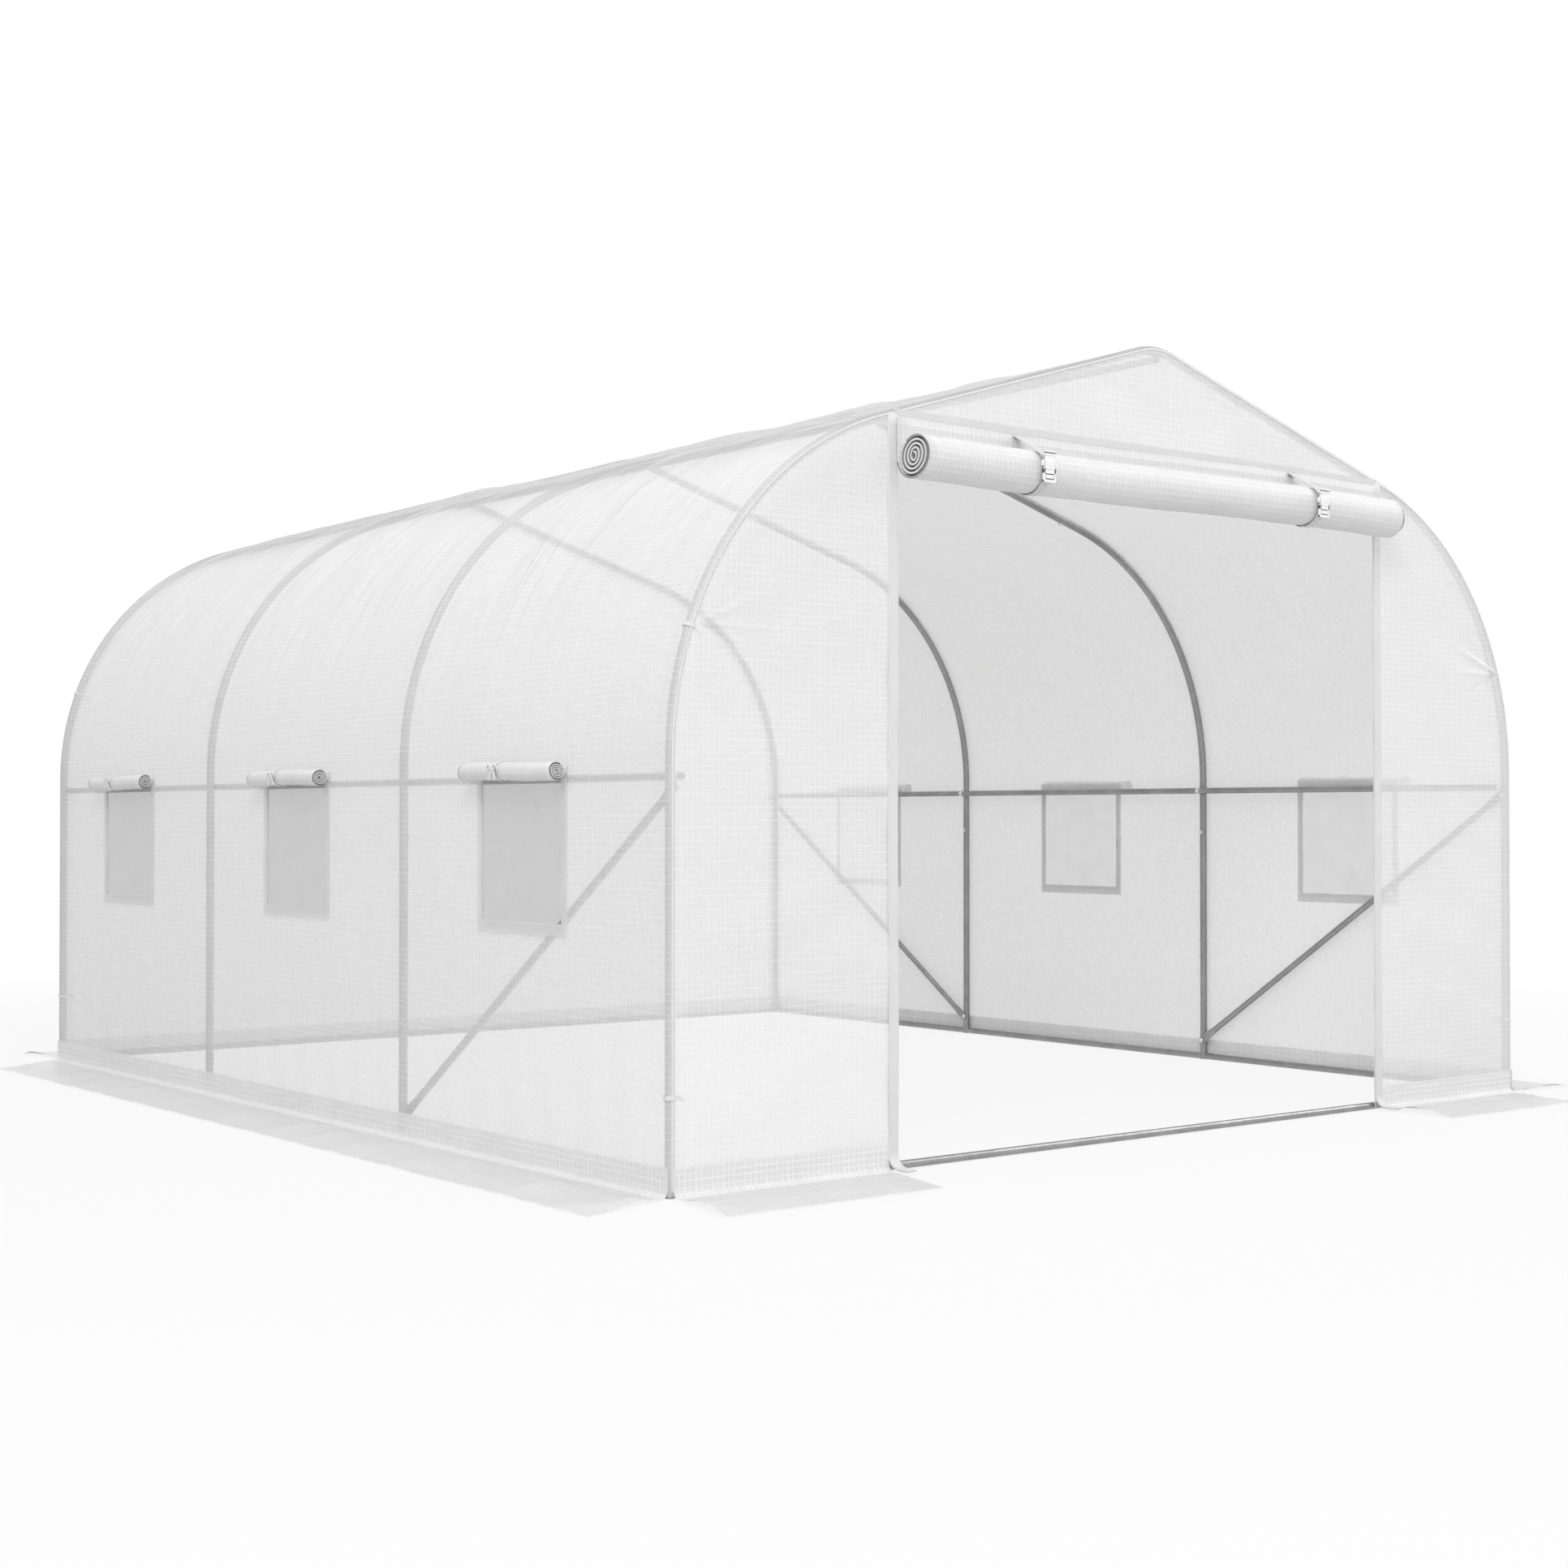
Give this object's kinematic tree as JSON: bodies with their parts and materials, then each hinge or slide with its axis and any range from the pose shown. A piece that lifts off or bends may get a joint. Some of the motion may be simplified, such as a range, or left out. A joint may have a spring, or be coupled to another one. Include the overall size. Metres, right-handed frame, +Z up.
{
  "type": "polytunnel greenhouse",
  "caption": "Walk-in polytunnel greenhouse: steel tube hoops with rounded shoulders and a low ridge under a translucent woven film cover, roll-up door and screened side windows.",
  "frame": {"origin": "on the ground at the middle of the plan", "axes": "+X to the right seen from the door end, +Y from the door end to the back, +Z up"},
  "size_m": [3.5266, 4.0066, 1.9996],
  "materials": {
    "galvanised_steel": "galvanised, satin",
    "woven_film": "translucent white woven film with a reinforcing grid",
    "webbing": "white binding tape and webbing",
    "buckle_plastic": "white moulded plastic, semi-gloss",
    "insect_mesh": "fine grey insect mesh"
  },
  "bodies": {
    "root": {"back_base_rail": "galvanised_steel", "back_hoop_bows": "galvanised_steel", "back_hoop_legs": "galvanised_steel", "back_hoop_roof_bar": "galvanised_steel", "back_panel": "woven_film", "back_skirt": "woven_film", "braces": "galvanised_steel", "cover_ties": "webbing", "door_buckles": "buckle_plastic", "door_header": "webbing", "door_jambs": "webbing", "door_roll": "woven_film", "door_straps": "webbing", "front_gable_panel": "woven_film", "front_hoop_bows": "galvanised_steel", "front_hoop_legs": "galvanised_steel", "front_hoop_roof_bar": "galvanised_steel", "front_left_panel": "woven_film", "front_right_panel": "woven_film", "front_skirts": "woven_film", "left_base_rail": "galvanised_steel", "left_purlin": "galvanised_steel", "left_roof_cover": "woven_film", "left_shoulder_cover": "woven_film", "left_skirt": "woven_film", "left_wall_cover": "woven_film", "ridge_purlin": "galvanised_steel", "right_base_rail": "galvanised_steel", "right_purlin": "galvanised_steel", "right_roof_cover": "woven_film", "right_shoulder_cover": "woven_film", "right_skirt": "woven_film", "right_wall_cover": "woven_film", "second_hoop_bows": "galvanised_steel", "second_hoop_legs": "galvanised_steel", "second_hoop_roof_bar": "galvanised_steel", "third_hoop_bows": "galvanised_steel", "third_hoop_legs": "galvanised_steel", "third_hoop_roof_bar": "galvanised_steel", "threshold_rail": "galvanised_steel", "window_bindings": "webbing", "window_rolls": "woven_film", "window_screens": "insect_mesh", "window_ties": "webbing"}
  },
  "joints": []
}
